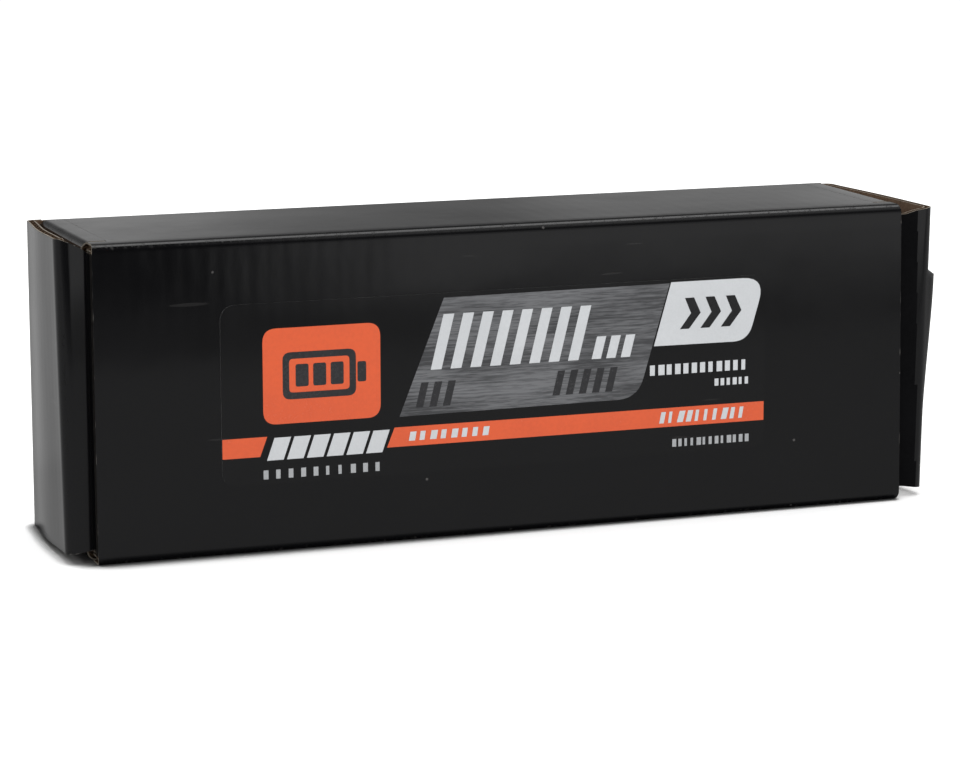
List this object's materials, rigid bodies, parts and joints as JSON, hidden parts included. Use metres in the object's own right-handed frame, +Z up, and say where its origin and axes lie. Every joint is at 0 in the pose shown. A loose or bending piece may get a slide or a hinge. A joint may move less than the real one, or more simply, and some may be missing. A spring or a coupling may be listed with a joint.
{
  "type": "boxed battery pack",
  "caption": "Hard-case lithium polymer battery pack with leads, inside its black tuck-end retail carton with hinged end closures.",
  "frame": {"origin": "middle of the carton's base, on the surface it stands on", "axes": "+X along the carton's length, +Y from the labelled front panel to the back, +Z up"},
  "size_m": [0.1765, 0.0406, 0.059],
  "materials": {
    "coated_board": "gloss black coating over kraft micro-flute board",
    "kraft_board": "bare kraft liner",
    "label_film": "printed film sticker, gloss",
    "case_plastic": "moulded, fine texture",
    "pack_film": "printed film sticker, gloss",
    "cell_foil": "laminated pouch foil, satin",
    "foam": "closed-cell foam",
    "insulation": "polyimide film",
    "aluminium_tab": "rolled strip",
    "nickel_tab": "nickel-plated strip",
    "copper": "rolled copper strip",
    "circuit_laminate": "green solder mask",
    "chip_epoxy": "moulded epoxy",
    "grommet_rubber": "moulded rubber",
    "red_silicone": "silicone insulation",
    "black_silicone": "silicone insulation",
    "white_plastic": "moulded nylon",
    "connector_nylon": "moulded nylon",
    "gold": "gold-plated"
  },
  "bodies": {
    "carton": {"front_panel": "coated_board", "top_panel": "coated_board", "back_panel": "coated_board", "bottom_panel": "coated_board", "glue_flap": "kraft_board", "product_label": "label_film"},
    "battery_pack": {"case_tray": "case_plastic", "case_lid": "case_plastic", "pack_label": "pack_film", "lead_grommet": "grommet_rubber", "front_foam_pad": "foam", "front_cell": "cell_foil", "cell_divider": "insulation", "back_cell": "cell_foil", "back_foam_pad": "foam", "front_cell_positive_tab": "aluminium_tab", "front_cell_negative_tab": "nickel_tab", "back_cell_positive_tab": "aluminium_tab", "back_cell_negative_tab": "nickel_tab", "series_bridge": "copper", "circuit_board": "circuit_laminate", "controller_chip": "chip_epoxy", "sense_resistor": "chip_epoxy", "positive_lead": "red_silicone", "negative_lead": "black_silicone", "balance_lead": "white_plastic", "positive_sleeve": "red_silicone", "negative_sleeve": "black_silicone", "connector_shell": "connector_nylon", "positive_contact": "gold", "negative_contact": "gold", "balance_plug": "white_plastic"},
    "left_end_panel": {"left_end_panel": "coated_board"},
    "left_tuck_flap": {"left_tuck_flap": "coated_board"},
    "left_top_dust_flap": {"left_top_dust_flap": "coated_board"},
    "left_bottom_dust_flap": {"left_bottom_dust_flap": "coated_board"},
    "right_end_panel": {"right_end_panel": "coated_board"},
    "right_tuck_flap": {"right_tuck_flap": "coated_board"},
    "right_top_dust_flap": {"right_top_dust_flap": "coated_board"},
    "right_bottom_dust_flap": {"right_bottom_dust_flap": "coated_board"}
  },
  "joints": [
    {"name": "left_closure", "type": "hinge", "parent": "carton", "child": "left_end_panel", "pos_m": [-0.0829, 0.0185, 0.0295], "axis": [0, 0, -1], "range_deg": [-4.5, 165.5]},
    {"name": "left_tuck_crease", "type": "hinge", "parent": "left_end_panel", "child": "left_tuck_flap", "pos_m": [-0.08566, -0.01659, 0.0295], "axis": [0, 0, -1], "range_deg": [-0.59, 19.91]},
    {"name": "left_top_dust_crease", "type": "hinge", "parent": "carton", "child": "left_top_dust_flap", "pos_m": [-0.0807, 0, 0.0575], "axis": [0, 1, 0], "range_deg": [-2.3, 82.8]},
    {"name": "left_bottom_dust_crease", "type": "hinge", "parent": "carton", "child": "left_bottom_dust_flap", "pos_m": [-0.0807, 0, 0.0015], "axis": [0, -1, 0], "range_deg": [-2.3, 82.8]},
    {"name": "right_closure", "type": "hinge", "parent": "carton", "child": "right_end_panel", "pos_m": [0.0829, 0.0185, 0.0295], "axis": [0, 0, 1], "range_deg": [-7.5, 162.5]},
    {"name": "right_tuck_crease", "type": "hinge", "parent": "right_end_panel", "child": "right_tuck_flap", "pos_m": [0.0875, -0.0164, 0.0295], "axis": [0, 0, 1], "range_deg": [-0.95, 19.55]},
    {"name": "right_top_dust_crease", "type": "hinge", "parent": "carton", "child": "right_top_dust_flap", "pos_m": [0.0807, 0, 0.0575], "axis": [0, -1, 0], "range_deg": [-3.8, 81.3]},
    {"name": "right_bottom_dust_crease", "type": "hinge", "parent": "carton", "child": "right_bottom_dust_flap", "pos_m": [0.0807, 0, 0.0015], "axis": [0, 1, 0], "range_deg": [-3.8, 81.3]},
    {"name": "pack_slide", "type": "slide", "parent": "carton", "child": "battery_pack", "axis": [1, 0, 0], "range_m": [-0.006, 0.0008]}
  ],
  "couplings": [
    {"joint": "left_tuck_crease", "follows": "left_closure", "ratio": 0.12},
    {"joint": "left_top_dust_crease", "follows": "left_closure", "ratio": 0.5},
    {"joint": "left_bottom_dust_crease", "follows": "left_closure", "ratio": 0.5},
    {"joint": "right_tuck_crease", "follows": "right_closure", "ratio": 0.12},
    {"joint": "right_top_dust_crease", "follows": "right_closure", "ratio": 0.5},
    {"joint": "right_bottom_dust_crease", "follows": "right_closure", "ratio": 0.5}
  ]
}
